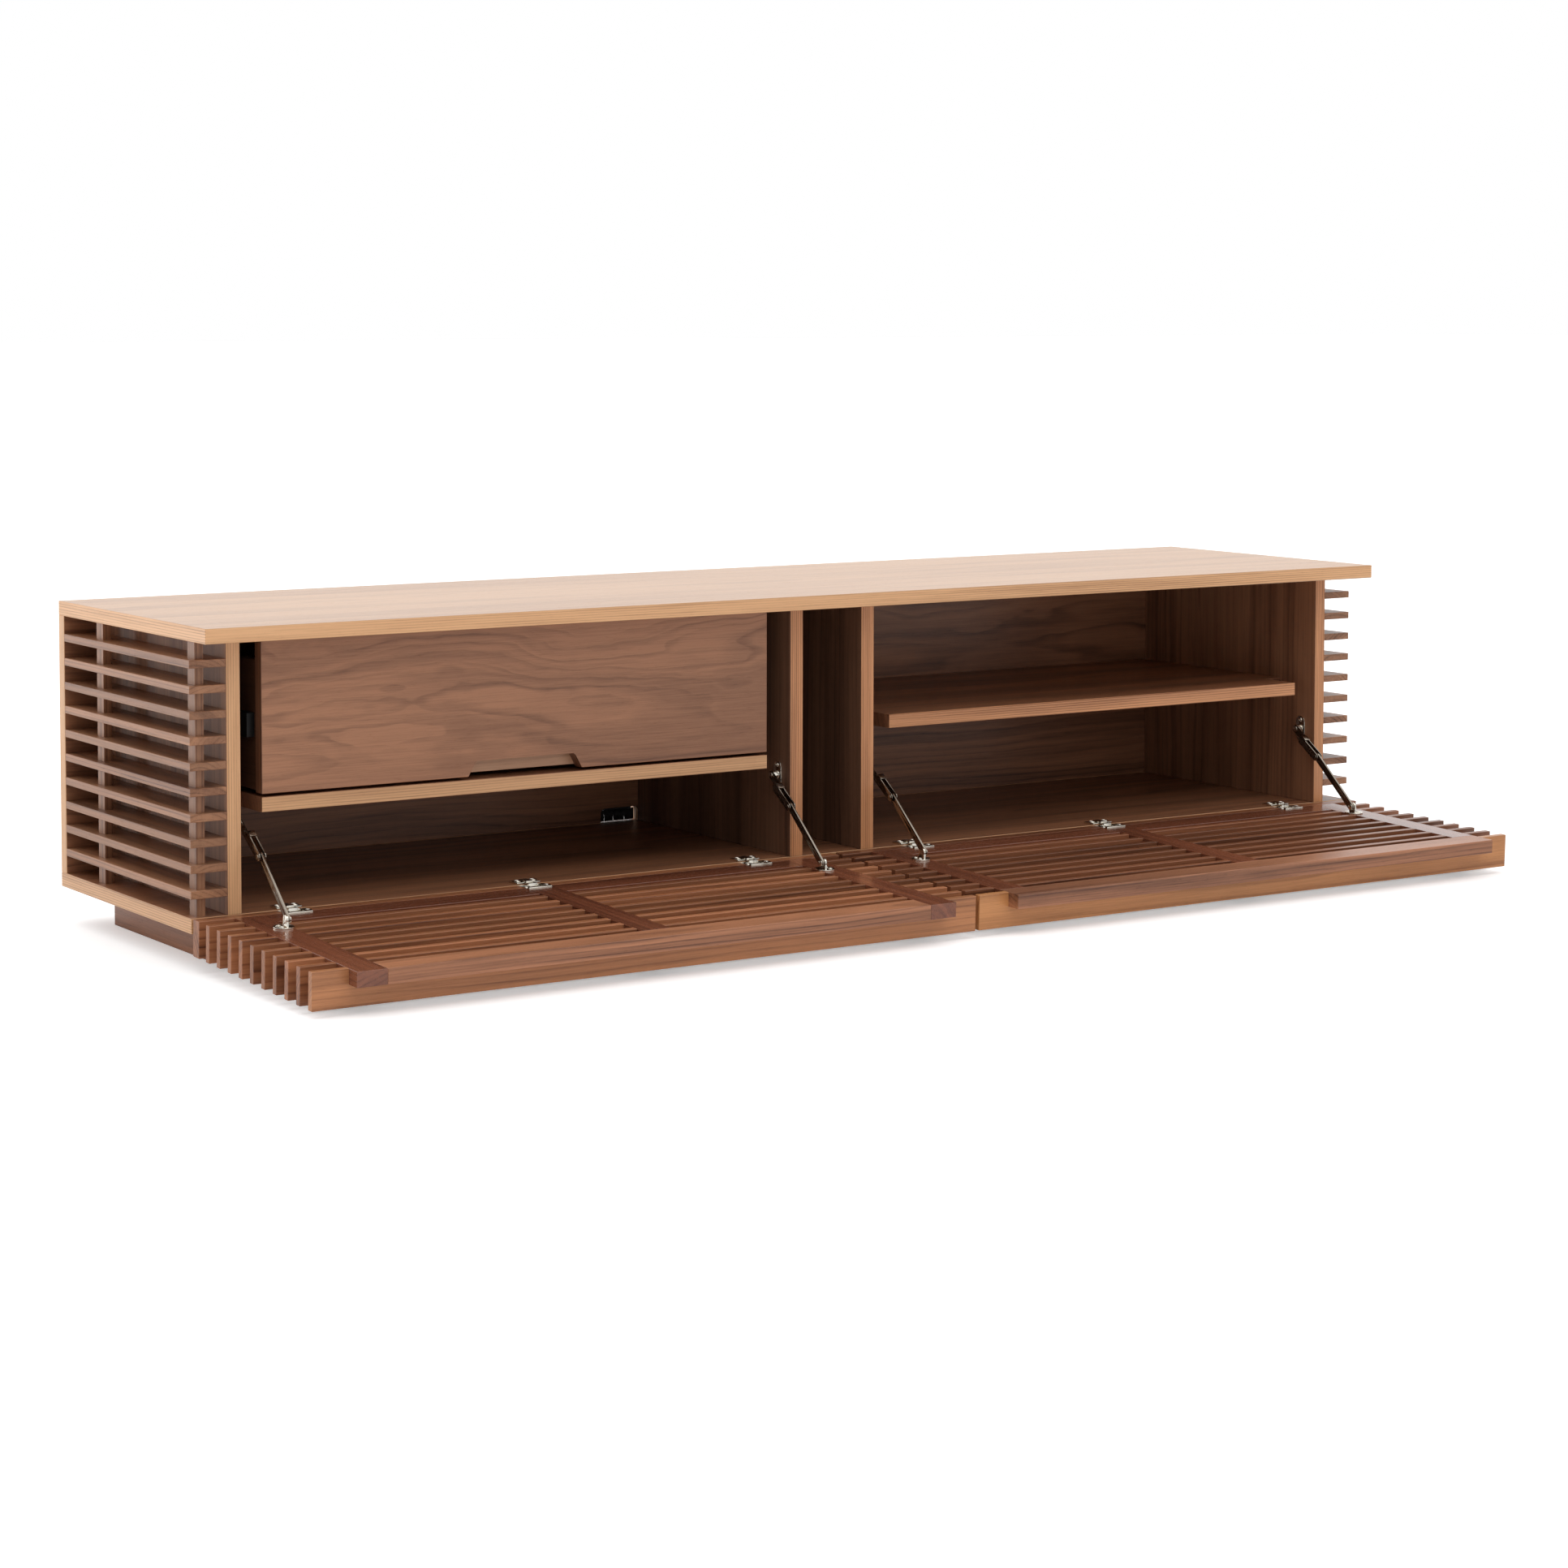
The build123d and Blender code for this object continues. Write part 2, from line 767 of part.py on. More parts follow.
    with BuildPart(door_plane) as door_screws:
        screws([Location(place) for place in cup_screws[side]])
        screws([Location(spot) for spot in foot_screws[side]])
    write(door_screws, f"door_{side}_screws")

# ---- Hinge plates on the bottom panel ----------------------------------------------------------

with BuildPart() as hinge_bases:
    for x in all_hinges:
        block(
            (x - hinge_plate_width / 2, x + hinge_plate_width / 2),
            (hinge_plate_front, hinge_plate_front + hinge_plate_depth),
            (floor_top, floor_top + hinge_plate_thickness),
        )
        arm_x = (x - hinge_arm_width / 2, x + hinge_arm_width / 2)
        arm_low = floor_top + hinge_arm_lift
        arm_high = arm_low + hinge_arm_thickness
        block(arm_x, (hinge_y + hinge_leg_near, hinge_plate_front), (arm_low, arm_high))
        block(arm_x, (hinge_y + hinge_leg_near, hinge_y + hinge_leg_far), (hinge_z, arm_high))
        with Locations(Location((x, hinge_y, hinge_z), (0, 90, 0))):
            Cylinder(hinge_eye_radius, hinge_arm_width)
            Cylinder(hinge_pin_radius + hinge_pin_clearance, hinge_arm_width, mode=Mode.SUBTRACT)
    screw_holes(hinge_screws)
write(hinge_bases, "hinge_bases")

# ---- Folding stays -----------------------------------------------------------------------------

with BuildPart() as stay_brackets:
    for face, way, side in stays.values():
        with BuildSketch(stay_plane(face, way, 0, bracket_y, bracket_z)):
            SlotOverall(stay_plate_length, stay_plate_width, rotation=90)
        extrude(amount=way * stay_plate_thickness)
        with BuildSketch(stay_plane(face, way, stay_plate_thickness, bracket_y, bracket_z)):
            Circle(stay_boss_radius)
        extrude(amount=way * (stay_boss_end - stay_plate_thickness))
        head_start = upper_link_near + upper_link_wall + stay_head_gap
        with BuildSketch(stay_plane(face, way, stay_boss_end, bracket_y, bracket_z)):
            Circle(stay_pin_radius)
        extrude(amount=way * (head_start - stay_boss_end))
        with BuildSketch(stay_plane(face, way, head_start, bracket_y, bracket_z)):
            Circle(stay_head_radius)
        extrude(amount=way * stay_head_height)
    screw_holes([screw for face, screw in bracket_screws])
write(stay_brackets, "stay_brackets")

with BuildPart() as carcass_screws:
    screws(hinge_screws)
    screws([screw for face, screw in bracket_screws])
write(carcass_screws, "carcass_screws")

for name, (face, way, side) in stays.items():
    link_end = upper_link_far + upper_link_wall
    with BuildPart() as upper_link:
        with BuildSketch(stay_plane(face, way, upper_link_near, bracket_y, bracket_z, upper_angle)):
            with Locations((upper_length / 2, 0)):
                SlotCenterToCenter(upper_length, upper_link_width)
            Circle(stay_pin_radius + stay_pin_clearance, mode=Mode.SUBTRACT)
        extrude(amount=way * upper_link_wall)
        with BuildSketch(stay_plane(face, way, upper_link_far, bracket_y, bracket_z, upper_angle)):
            with Locations((upper_length - upper_fork_length / 2, 0)):
                SlotCenterToCenter(upper_fork_length, upper_link_width)
        extrude(amount=way * upper_link_wall)
        with BuildSketch(stay_plane(face, way, upper_link_near, bracket_y, bracket_z, upper_angle)):
            web_middle = upper_length - (upper_web_start + upper_web_end) / 2
            with Locations((web_middle, upper_web_lap - upper_link_width / 2)):
                Rectangle(
                    upper_web_start - upper_web_end,
                    upper_web_thickness + upper_web_lap,
                    align=(Align.CENTER, Align.MAX),
                )
        extrude(amount=way * (link_end - upper_link_near))
        for distance, outward in ((upper_link_near, -way), (link_end, way)):
            with BuildSketch(stay_plane(face, way, distance, knuckle_y, knuckle_z)):
                Circle(knuckle_rivet_radius)
            extrude(amount=outward * knuckle_rivet_height)
    write(upper_link, f"stay_{name}_upper_link")

    with BuildPart() as lower_arm:
        with BuildSketch(stay_plane(face, way, lower_arm_near, foot_y, foot_z, lower_angle)):
            with Locations((lower_length / 2, 0)):
                SlotCenterToCenter(lower_length, lower_arm_width)
            Circle(stay_pin_radius + stay_pin_clearance, mode=Mode.SUBTRACT)
            with Locations((lower_length, 0)):
                Circle(knuckle_hole_radius, mode=Mode.SUBTRACT)
        extrude(amount=way * lower_arm_thickness)
    write(lower_arm, f"stay_{name}_lower_arm")
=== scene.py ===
import json
from math import radians
from random import Random

import bmesh
import bpy
from mathutils import Matrix, Vector


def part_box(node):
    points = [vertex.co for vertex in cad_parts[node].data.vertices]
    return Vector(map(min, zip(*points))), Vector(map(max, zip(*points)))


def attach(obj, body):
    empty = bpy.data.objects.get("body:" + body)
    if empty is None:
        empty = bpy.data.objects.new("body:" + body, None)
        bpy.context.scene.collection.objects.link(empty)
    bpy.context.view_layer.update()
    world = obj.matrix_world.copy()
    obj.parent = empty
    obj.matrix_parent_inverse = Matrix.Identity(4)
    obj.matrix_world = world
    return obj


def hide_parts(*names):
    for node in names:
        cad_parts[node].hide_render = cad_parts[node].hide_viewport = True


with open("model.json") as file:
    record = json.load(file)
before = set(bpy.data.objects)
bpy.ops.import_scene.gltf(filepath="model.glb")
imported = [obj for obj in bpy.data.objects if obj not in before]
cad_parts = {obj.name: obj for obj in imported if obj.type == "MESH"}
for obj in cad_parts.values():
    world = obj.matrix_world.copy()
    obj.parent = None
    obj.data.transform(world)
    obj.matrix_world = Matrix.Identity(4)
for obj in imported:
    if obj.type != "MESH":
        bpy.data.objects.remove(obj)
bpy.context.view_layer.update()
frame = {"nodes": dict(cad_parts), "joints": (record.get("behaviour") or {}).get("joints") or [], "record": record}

# Walnut media cabinet with slatted drop-down doors. Metres, +Z up, the front faces -Y.

# ---- Values --------------------------------------------------------------------------------------

door_droop = radians(2)
weld_distance = 0.000002

# screws
screw_radius = 0.0034
screw_height = 0.0012
screw_rim_rounding = 0.0009
recess_reach = 0.0019
recess_depth = 0.0008
recess_taper = 0.7

# bosses round the hinge screws, on the carcass side and the door side
boss_hole_radius = 0.0038
plate_boss_radius = 0.0058
plate_boss_height = 0.0014
cup_boss_radius = 0.0056
cup_boss_height = 0.0012
cup_face_lift = 0.008
hinge_screw_reach = 0.018

# the cover on each hinge plate, measured from the plate's rear edge and top
cover_half_width = 0.006
cover_front = 0.026
cover_back = 0.005
cover_sink = 0.0005
cover_height = 0.0022

# the bar across each hinge cup, and its two links, measured from the pin and the cup's face
cup_bar_half_width = 0.018
cup_bar_front = 0.0205
cup_bar_back = 0.015
cup_bar_sink = 0.0006
cup_bar_height = 0.0018
link_offset = 0.009
link_half_width = 0.0013
link_front = 0.0115
link_back = 0.0055
link_bottom = 0.004
link_top = 0.0008

# cable brush, a dark screen that paints the shade in the cable outlet
brush_gap = 0.0015
brush_width = 0.063
brush_bar_inset = 0.006
brush_bar_half_depth = 0.002
brush_bar_bottom = 0.0185
brush_bar_top = 0.0219
bristle_count = 240
bristle_length = 0.0176
bristle_root = 0.0183
bristle_spread = 0.0015

# studio
world_strength = 1.38
floor_glow = 0.35

# ---- Shader helpers ------------------------------------------------------------------------------


def node(tree, kind, settings=None, inputs=None):
    """Add a shader node, set its properties, and set or link its inputs."""
    made = tree.nodes.new("ShaderNode" + kind)
    for name, value in (settings or {}).items():
        setattr(made, name, value)
    for key, value in (inputs or {}).items():
        if isinstance(value, bpy.types.NodeSocket):
            tree.links.new(value, made.inputs[key])
        else:
            made.inputs[key].default_value = value
    return made


def maths(tree, operation, *values, clamp=False):
    """The result of a Math node on values or sockets."""
    settings = {"operation": operation, "use_clamp": clamp}
    return node(tree, "Math", settings, dict(enumerate(values))).outputs[0]


def remap(tree, value, low, high, bottom=0.0, top=1.0, smooth=False):
    """Map a value from one range to another, held at both ends."""
    settings = {"interpolation_type": "SMOOTHSTEP" if smooth else "LINEAR", "clamp": True}
    inputs = {"Value": value, "From Min": low, "From Max": high, "To Min": bottom, "To Max": top}
    return node(tree, "MapRange", settings, inputs).outputs["Result"]


def blend_colour(tree, share, first, second, way="MIX"):
    """Mix two colours by a share."""
    made = node(tree, "Mix", {"data_type": "RGBA", "blend_type": way})
    for key, value in ((0, share), (6, first), (7, second)):
        if isinstance(value, bpy.types.NodeSocket):
            tree.links.new(value, made.inputs[key])
        else:
            made.inputs[key].default_value = value
    return made.outputs[2]


def stretched_noise(tree, vector, stretch, detail=2.0, roughness=0.5, distortion=0.0):
    """Noise over a vector scaled by three numbers, so that it can run long along the grain."""
    scaled = node(tree, "VectorMath", {"operation": "MULTIPLY"}, {0: vector, 1: stretch}).outputs[0]
    inputs = {
        "Vector": scaled,
        "Scale": 1.0,
        "Detail": detail,
        "Roughness": roughness,
        "Distortion": distortion,
    }
    return node(tree, "TexNoise", {"noise_dimensions": "3D"}, inputs).outputs["Fac"]


def shader_group(name, inputs, outputs):
    """An empty node group with named sockets. Returns the tree, its inputs and its output node."""
    tree = bpy.data.node_groups.new(name, "ShaderNodeTree")
    for label, kind, value in inputs:
        socket = tree.interface.new_socket(label, in_out="INPUT", socket_type="NodeSocket" + kind)
        socket.default_value = value
    for label, kind in outputs:
        tree.interface.new_socket(label, in_out="OUTPUT", socket_type="NodeSocket" + kind)
    entry = tree.nodes.new("NodeGroupInput")
    leave = tree.nodes.new("NodeGroupOutput")
    return tree, entry.outputs, leave


def new_material(name):
    """A material with only its shader. Returns the material, its tree and the shader."""
    material = bpy.data.materials.new(name)
    material.use_nodes = True
    tree = material.node_tree
    return material, tree, tree.nodes["Principled BSDF"]


def colour(red, green, blue):
    """A linear colour from sRGB values between 0 and 255."""
    linear = [((c / 255 + 0.055) / 1.055) ** 2.4 for c in (red, green, blue)]
    return (*linear, 1.0)


# ---- Walnut --------------------------------------------------------------------------------------


def make_walnut_group():
    """Sliced walnut: rings round a pith, broad dark streaks, fine fibres and open pores."""
    tree, given, leave = shader_group(
        "walnut",
        [
            ("Grain", "Vector", (0.0, 0.0, 0.0)),
            ("Board", "Float", 0.5),
            ("Light", "Color", (0.4, 0.25, 0.15, 1.0)),
            ("Dark", "Color", (0.1, 0.05, 0.03, 1.0)),
            ("Swirl", "Float", 0.01),
            ("Ring", "Float", 0.006),
            ("Lines", "Float", 0.5),
            ("Streaks", "Float", 0.5),
            ("Spread", "Float", 0.2),
        ],
        [("Colour", "Color"), ("Pores", "Float"), ("Height", "Float")],
    )
    grain = given["Grain"]

    # the rings wander: a slow bend and a quicker one, both in metres
    slow_bend = stretched_noise(tree, grain, (2.2, 9.0, 9.0), detail=1.0)
    quick_bend = stretched_noise(tree, grain, (9.0, 30.0, 30.0), detail=2.0)
    bend = maths(tree, "ADD", slow_bend, maths(tree, "MULTIPLY", quick_bend, 0.22))
    bend = maths(tree, "MULTIPLY", maths(tree, "SUBTRACT", bend, 0.61), given["Swirl"])
    parts = node(tree, "SeparateXYZ", inputs={0: grain}).outputs
    across = maths(tree, "ADD", parts["Y"], bend)
    through = maths(tree, "ADD", parts["Z"], maths(tree, "MULTIPLY", bend, 0.6))
    squares = maths(
        tree, "ADD", maths(tree, "MULTIPLY", across, across), maths(tree, "MULTIPLY", through, through)
    )
    radius = maths(tree, "SQRT", squares)
    uneven = stretched_noise(tree, grain, (0.6, 22.0, 22.0), detail=0.0)
    turns = maths(tree, "DIVIDE", radius, given["Ring"])
    turns = maths(tree, "ADD", turns, maths(tree, "MULTIPLY", uneven, 2.2))
    ring = maths(tree, "FRACT", turns)
    late_wood = remap(tree, ring, 0.55, 0.93, smooth=True)
    early_wood = remap(tree, ring, 0.94, 1.0, 1.0, 0.0)
    line = maths(tree, "MULTIPLY", late_wood, early_wood)
    strength = stretched_noise(tree, grain, (1.7, 30.0, 30.0), detail=1.0)
    line = maths(tree, "MULTIPLY", line, remap(tree, strength, 0.35, 0.62, 0.25, 1.0))

    # broad streaks of darker heartwood follow the same rings
    streak_place = node(tree, "CombineXYZ", inputs={0: parts["X"], 1: radius, 2: 0.0}).outputs[0]
    streak = stretched_noise(tree, streak_place, (0.9, 38.0, 1.0), detail=3.0, roughness=0.55)
    streak = remap(tree, streak, 0.36, 0.68, smooth=True)

    # fibres and pores run straight along the board
    fibre = stretched_noise(tree, grain, (14.0, 620.0, 620.0), detail=2.0, roughness=0.6)
    wide_fibre = stretched_noise(tree, grain, (5.0, 150.0, 150.0), detail=2.0)
    fibre_tone = maths(tree, "MULTIPLY", wide_fibre, 0.45)
    fibre_tone = maths(tree, "ADD", maths(tree, "MULTIPLY", fibre, 0.55), fibre_tone)
    pore_noise = stretched_noise(tree, grain, (95.0, 1500.0, 1500.0), detail=1.0)
    pores = remap(tree, pore_noise, 0.62, 0.72)

    darkness = maths(tree, "MULTIPLY", line, given["Lines"])
    darkness = maths(tree, "ADD", darkness, maths(tree, "MULTIPLY", streak, given["Streaks"]))
    fibre_share = remap(tree, fibre_tone, 0.34, 0.66, -0.16, 0.2)
    darkness = maths(tree, "ADD", darkness, fibre_share)
    darkness = maths(tree, "ADD", darkness, maths(tree, "MULTIPLY", pores, 0.16), clamp=True)
    wood = blend_colour(tree, darkness, given["Light"], given["Dark"])

    # every board has its own depth of tone
    tone = maths(tree, "MULTIPLY", maths(tree, "SUBTRACT", given["Board"], 0.5), given["Spread"])
    tone = maths(tree, "ADD", tone, 1.0)
    toned = node(tree, "HueSaturation", inputs={"Value": tone, "Color": wood})
    tree.links.new(toned.outputs["Color"], leave.inputs["Colour"])
    tree.links.new(pores, leave.inputs["Pores"])
    height = maths(tree, "SUBTRACT", fibre_tone, maths(tree, "MULTIPLY", pores, 0.8))
    tree.links.new(height, leave.inputs["Height"])
    return tree


walnut_group = make_walnut_group()


def walnut(name, light, dark, swirl, ring, lines, streaks, spread, gloss, coat=0.12):
    """A lacquered walnut material laid along each board's own grain."""
    material, tree, shader = new_material(name)
    grain = node(tree, "Attribute", {"attribute_name": "grain"}).outputs["Vector"]
    board = node(tree, "Attribute", {"attribute_name": "board"}).outputs["Fac"]
    wood = node(tree, "Group", {"node_tree": walnut_group}, {
        "Grain": grain,
        "Board": board,
        "Light": light,
        "Dark": dark,
        "Swirl": swirl,
        "Ring": ring,
        "Lines": lines,
        "Streaks": streaks,
        "Spread": spread,
    })
    tree.links.new(wood.outputs["Colour"], shader.inputs["Base Color"])
    roughness = maths(tree, "MULTIPLY_ADD", wood.outputs["Pores"], 0.18, gloss)
    tree.links.new(roughness, shader.inputs["Roughness"])
    open_grain = {"Strength": 0.12, "Distance": 0.0004, "Height": wood.outputs["Height"]}
    bump = node(tree, "Bump", inputs=open_grain)
    tree.links.new(bump.outputs["Normal"], shader.inputs["Normal"])
    shader.inputs["Specular IOR Level"].default_value = 0.35
    shader.inputs["Coat Weight"].default_value = coat
    shader.inputs["Coat Roughness"].default_value = 0.2
    shader.inputs["IOR"].default_value = 1.5
    return material


veneer = walnut(
    "walnut_veneer",
    colour(162, 110, 79),
    colour(82, 50, 35),
    swirl=0.05, ring=0.011, lines=0.36, streaks=0.6, spread=0.12, gloss=0.36,
)
# painted sheen: the top's light colours stand in for the backdrop's glare on the lacquer
sheen_top_veneer = walnut(
    "sheen_top_veneer",
    colour(198, 154, 114),
    colour(156, 112, 78),
    swirl=0.05, ring=0.012, lines=0.3, streaks=0.5, spread=0.05, gloss=0.32, coat=0.2,
)
side_veneer = walnut(
    "side_veneer",
    colour(165, 116, 85),
    colour(98, 62, 44),
    swirl=0.03, ring=0.01, lines=0.34, streaks=0.6, spread=0.08, gloss=0.5, coat=0.0,
)
# painted shade: a darker copy of the walnut veneer for the dividers, whose faces sit in the dim bays
divider_veneer = walnut(
    "divider_veneer",
    colour(128, 92, 70),
    colour(66, 44, 34),
    swirl=0.03, ring=0.01, lines=0.34, streaks=0.6, spread=0.08, gloss=0.45, coat=0.0,
)
figured_veneer = walnut(
    "figured_walnut_veneer",
    colour(176, 124, 92),
    colour(96, 63, 46),
    swirl=0.15, ring=0.018, lines=0.3, streaks=0.4, spread=0.05, gloss=0.4,
)
golden_band = walnut(
    "golden_edge_band",
    colour(222, 172, 126),
    colour(144, 96, 60),
    swirl=0.004, ring=0.0035, lines=0.6, streaks=0.35, spread=0.1, gloss=0.38,
)
red_band = walnut(
    "red_edge_band",
    colour(222, 157, 108),
    colour(128, 75, 43),
    swirl=0.004, ring=0.0035, lines=0.6, streaks=0.4, spread=0.1, gloss=0.38,
)
slat_wood = walnut(
    "slat_walnut",
    colour(166, 118, 86),
    colour(84, 50, 34),
    swirl=0.008, ring=0.006, lines=0.4, streaks=0.5, spread=0.3, gloss=0.4,
)
brown_fin = walnut(
    "brown_fin_walnut",
    colour(172, 112, 76),
    colour(80, 43, 28),
    swirl=0.008, ring=0.006, lines=0.44, streaks=0.55, spread=0.4, gloss=0.34,
)
dark_fin = walnut(
    "dark_fin_walnut",
    colour(146, 92, 62),
    colour(68, 37, 25),
    swirl=0.008, ring=0.006, lines=0.44, streaks=0.55, spread=0.4, gloss=0.34,
)
# painted light: lighter copies of the fin walnut for each door's front fin, which no other fin shades
lit_outer_fin = walnut(
    "lit_outer_fin_walnut",
    colour(190, 128, 84),
    colour(108, 64, 40),
    swirl=0.01, ring=0.006, lines=0.42, streaks=0.5, spread=0.1, gloss=0.36,
)
lit_golden_fin = walnut(
    "lit_golden_fin_walnut",
    colour(210, 146, 92),
    colour(136, 82, 46),
    swirl=0.01, ring=0.006, lines=0.4, streaks=0.5, spread=0.1, gloss=0.36,
)
frame_wood = walnut(
    "frame_walnut",
    colour(138, 82, 58),
    colour(65, 33, 24),
    swirl=0.012, ring=0.007, lines=0.4, streaks=0.45, spread=0.2, gloss=0.22, coat=0.35,
)
rail_wood = walnut(
    "rail_walnut",
    colour(178, 120, 86),
    colour(88, 52, 36),
    swirl=0.016, ring=0.007, lines=0.44, streaks=0.65, spread=0.15, gloss=0.36,
)
# painted shade: the drawer box wood is darkened to stand for the deep shade in the gaps beside and under the
# drawer
shaded_box_wood = walnut(
    "drawer_box_wood",
    colour(84, 56, 40),
    colour(52, 33, 24),
    swirl=0.01, ring=0.005, lines=0.3, streaks=0.3, spread=0.1, gloss=0.5, coat=0.0,
)
# painted light: the box ends are made much lighter so the inner front, set behind the pull recess, reads as lit as
# the drawer face
lit_box_end_veneer = walnut(
    "lit_box_end_veneer",
    colour(216, 168, 132),
    colour(162, 117, 89),
    swirl=0.03, ring=0.01, lines=0.3, streaks=0.4, spread=0.1, gloss=0.4,
)

# ---- Metal and plastic ---------------------------------------------------------------------------


def make_handling_group():
    """Faint marks of handling on metal: smudges and fine scratches along one way."""
    tree, given, leave = shader_group(
        "handling",
        [("Clean", "Float", 0.2), ("Worn", "Float", 0.35)],
        [("Roughness", "Float"), ("Tone", "Float"), ("Height", "Float")],
    )
    place = node(tree, "TexCoord").outputs["Object"]
    smudge = stretched_noise(tree, place, (60.0, 60.0, 60.0), detail=3.0)
    brushed = stretched_noise(tree, place, (2500.0, 400.0, 400.0), detail=1.0)
    share = remap(tree, smudge, 0.35, 0.68)
    span = maths(tree, "SUBTRACT", given["Worn"], given["Clean"])
    roughness = maths(tree, "ADD", given["Clean"], maths(tree, "MULTIPLY", share, span))
    tree.links.new(roughness, leave.inputs["Roughness"])
    tree.links.new(remap(tree, smudge, 0.3, 0.7, 0.86, 1.0), leave.inputs["Tone"])
    tree.links.new(brushed, leave.inputs["Height"])
    return tree


handling_group = make_handling_group()


def metal(name, tint, clean, worn, metallic=1.0):
    """A plated metal with smudges and fine scratches."""
    material, tree, shader = new_material(name)
    marks = node(tree, "Group", {"node_tree": handling_group}, {"Clean": clean, "Worn": worn})
    tone = node(tree, "HueSaturation", inputs={"Value": marks.outputs["Tone"], "Color": tint})
    tree.links.new(tone.outputs["Color"], shader.inputs["Base Color"])
    tree.links.new(marks.outputs["Roughness"], shader.inputs["Roughness"])
    scratches = {"Strength": 0.04, "Distance": 0.0001, "Height": marks.outputs["Height"]}
    bump = node(tree, "Bump", inputs=scratches)
    tree.links.new(bump.outputs["Normal"], shader.inputs["Normal"])
    shader.inputs["Metallic"].default_value = metallic
    return material


nickel = metal("bright_nickel", colour(240, 234, 222), 0.1, 0.22)
dark_nickel = metal("dark_nickel", colour(150, 140, 128), 0.16, 0.32)
# painted shade: the runner metal is near-black to stand for the shade in the gaps beside the drawer
shade_dark_zinc = metal("shade_dark_zinc", colour(22, 21, 21), 0.42, 0.6, metallic=0.5)
foot_plastic = metal("foot_plastic", colour(26, 26, 27), 0.45, 0.6, metallic=0.0)
# painted shade: near-black bristles that darken the view through the cable outlet
shade_dark_bristle = metal("shade_dark_bristle", colour(34, 30, 28), 0.5, 0.7, metallic=0.0)

# ---- Pieces made from the boards of the frame ----------------------------------------------------

axis_vectors = (Vector((1, 0, 0)), Vector((0, 1, 0)), Vector((0, 0, 1)))
door_pins = {
    joint["child"]: Vector(joint["pos_m"])
    for joint in frame["joints"]
    if joint["child"].startswith("door")
}


def body_of(name):
    """The body that a CAD node belongs to."""
    bodies = frame["record"]["behaviour"]["bodies"]
    return next(body for body, members in bodies.items() if name in members)


def merged_copy(name):
    """A bmesh of a CAD node, with its loose triangles joined into clean faces."""
    mesh = bmesh.new()
    mesh.from_mesh(frame["nodes"][name].data)
    bmesh.ops.remove_doubles(mesh, verts=mesh.verts, dist=weld_distance)
    bmesh.ops.dissolve_limit(mesh, angle_limit=radians(0.4), verts=mesh.verts, edges=mesh.edges)
    return mesh


def turn_of(body):
    """The turn that lays a body's boards square to the axes: only the open doors are tilted."""
    if body not in door_pins:
        return Matrix.Identity(4)
    pin = door_pins[body]
    return Matrix.Translation(pin) @ Matrix.Rotation(-door_droop, 4, "X") @ Matrix.Translation(-pin)


def middle_of(board):
    """The mean of a board's face centres, rounded so that it can order the boards."""
    centres = zip(*[face.calc_center_median() for face in board])
    return tuple(round(sum(values) / len(board), 4) for values in centres)


def boards_of(mesh):
    """The separate boards in a bmesh, each a list of faces."""
    waiting = set(mesh.faces)
    boards = []
    while waiting:
        board = []
        reached = [waiting.pop()]
        while reached:
            face = reached.pop()
            board.append(face)
            for edge in face.edges:
                for other in edge.link_faces:
                    if other in waiting:
                        waiting.remove(other)
                        reached.append(other)
        boards.append(board)
    boards.sort(key=middle_of)
    return boards


def keep_piece(mesh, name, materials, body, replaced, smooth=False):
    """Turn a finished bmesh into a piece that rides on a body and stands for its CAD nodes."""
    data = bpy.data.meshes.new(name)
    mesh.to_mesh(data)
    mesh.free()
    for material in materials:
        data.materials.append(material)
    data.polygons.foreach_set("use_smooth", [smooth] * len(data.polygons))
    piece = bpy.data.objects.new(name, data)
    bpy.context.scene.collection.objects.link(piece)
    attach(piece, body)
    if replaced:
        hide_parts(*replaced)
    return piece


def lay_grain(mesh, board, turn, random, along, banded, front_only):
    """Write each corner's place in the board's own grain: along, across and through it."""
    grain = mesh.loops.layers.float_vector["grain"]
    tone = mesh.faces.layers.float["board"]
    corners = [turn @ corner.vert.co for face in board for corner in face.loops]
    low = Vector(map(min, zip(*corners)))
    high = Vector(map(max, zip(*corners)))
    size = high - low
    order = sorted(range(3), key=lambda axis: size[axis])
    thin = order[0]
    long = order[2] if along is None else along
    wide = 3 - thin - long
    start = Vector((random.uniform(-40, 40), random.uniform(-0.05, 0.05), random.uniform(0.05, 0.11)))
    shade = random.random()
    edge_starts = [Vector((random.uniform(-40, 40), 0.3, 0.02)) for step in range(6)]
    middle = (low + high) / 2
    for face in board:
        facing = turn.to_3x3() @ face.normal
        edge_axis = max(range(3), key=lambda axis: abs(facing[axis]))
        on_edge = banded and edge_axis != thin
        if front_only:
            on_edge = on_edge and (turn @ face.calc_center_median()).y < low.y + 0.002
        face.material_index = 1 if on_edge else 0
        face[tone] = shade
        for corner in face.loops:
            place = turn @ corner.vert.co - middle
            if on_edge:
                run = 3 - thin - edge_axis
                edge_start = edge_starts[2 * edge_axis + (facing[edge_axis] > 0)]
                corner[grain] = edge_start + Vector((place[run], place[thin], 0))
            else:
                corner[grain] = start + Vector((place[long], place[wide], place[thin]))


